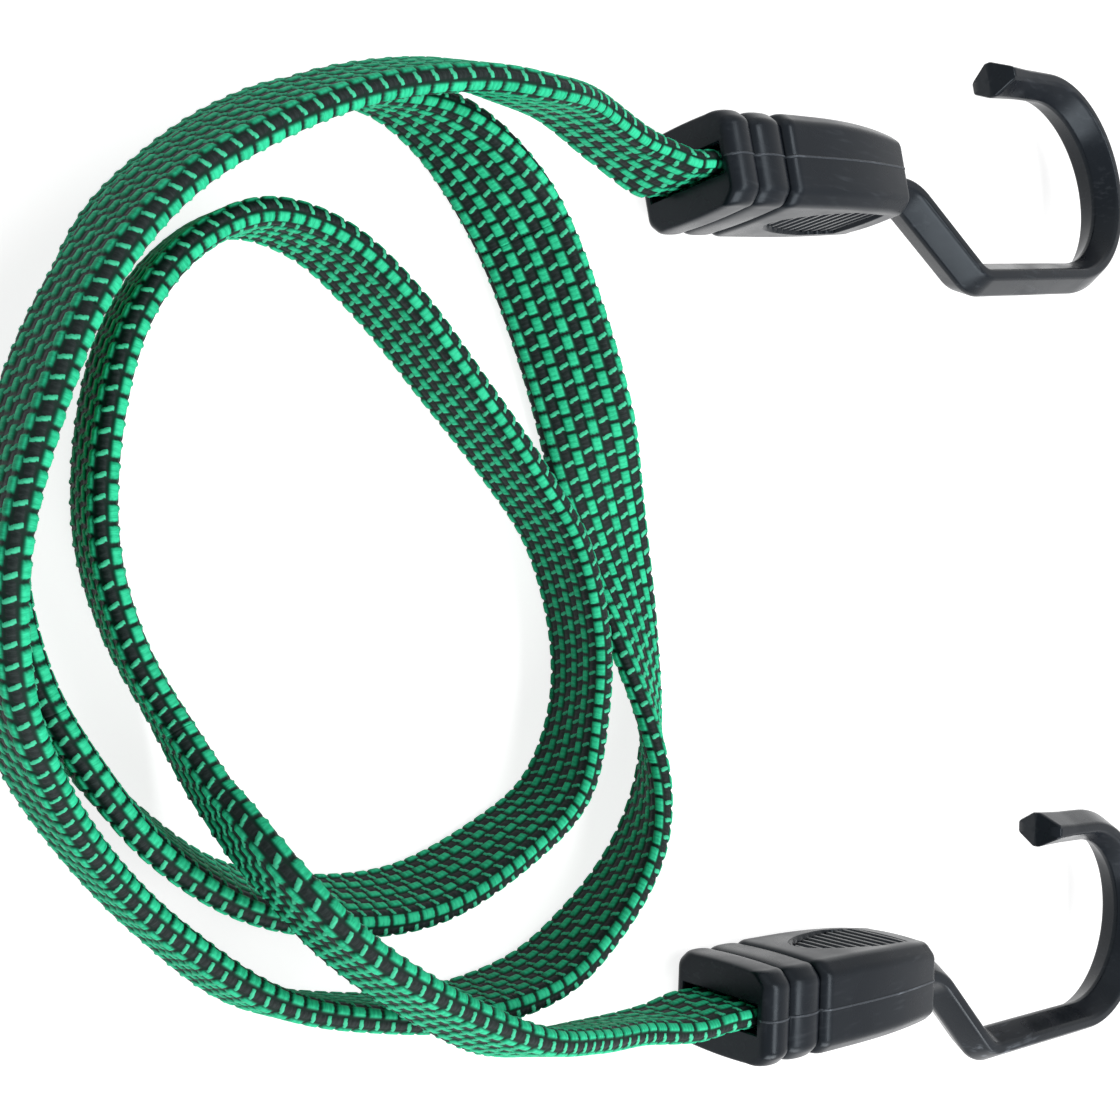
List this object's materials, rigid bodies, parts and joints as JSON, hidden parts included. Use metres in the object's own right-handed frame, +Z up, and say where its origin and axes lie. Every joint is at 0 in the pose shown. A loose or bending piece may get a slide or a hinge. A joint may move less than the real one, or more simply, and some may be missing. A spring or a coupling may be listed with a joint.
{
  "type": "bungee cord",
  "caption": "Flat woven elastic cord lying in loose loops, with a moulded plastic housing and an open hook clamped on each end.",
  "frame": {"origin": "on the table, below the middle of the box round the two hook ends", "axes": "+X from the loops toward the open ends of the hooks, +Y from hook end b to hook end a, +Z up from the table"},
  "size_m": [0.2683, 0.2145, 0.0346],
  "materials": {
    "woven_sheath": "woven green and black yarn",
    "rubber_core": "matte threads",
    "hook_plastic": "satin moulded charcoal",
    "crimp_steel": "plain"
  },
  "bodies": {
    "strap": {"sheath_loops": "woven_sheath", "core_loops": "rubber_core"},
    "lead_a": {"sheath_lead_a": "woven_sheath", "core_lead_a": "rubber_core"},
    "hook_end_a": {"sheath_end_a": "woven_sheath", "core_end_a": "rubber_core", "crimp_a": "crimp_steel", "shell_far_a": "hook_plastic", "shell_near_a": "hook_plastic", "hook_a": "hook_plastic"},
    "lead_b": {"sheath_lead_b": "woven_sheath", "core_lead_b": "rubber_core"},
    "hook_end_b": {"sheath_end_b": "woven_sheath", "core_end_b": "rubber_core", "crimp_b": "crimp_steel", "shell_far_b": "hook_plastic", "shell_near_b": "hook_plastic", "hook_b": "hook_plastic"}
  },
  "joints": [
    {"name": "stretch_a", "type": "slide", "parent": "strap", "child": "lead_a", "axis": [1, 0, 0], "range_m": [0, 0.05], "stiffness_N_per_m": 1600, "deforming": ["sheath_loops", "core_loops"]},
    {"name": "swing_a", "type": "hinge", "parent": "lead_a", "child": "hook_end_a", "pos_m": [-0.0833, 0.0656, 0.0116], "axis": [0, 0, 1], "range_deg": [-25, 60], "stiffness_Nm_per_rad": 0.05, "deforming": ["sheath_lead_a", "core_lead_a", "sheath_end_a", "core_end_a"]},
    {"name": "stretch_b", "type": "slide", "parent": "strap", "child": "lead_b", "axis": [1, 0, 0], "range_m": [0, 0.05], "stiffness_N_per_m": 1600, "deforming": ["sheath_loops", "core_loops"]},
    {"name": "swing_b", "type": "hinge", "parent": "lead_b", "child": "hook_end_b", "pos_m": [-0.0763, -0.0776, 0.0113], "axis": [0, 0, 1], "range_deg": [-60, 25], "stiffness_Nm_per_rad": 0.05, "deforming": ["sheath_lead_b", "core_lead_b", "sheath_end_b", "core_end_b"]}
  ]
}
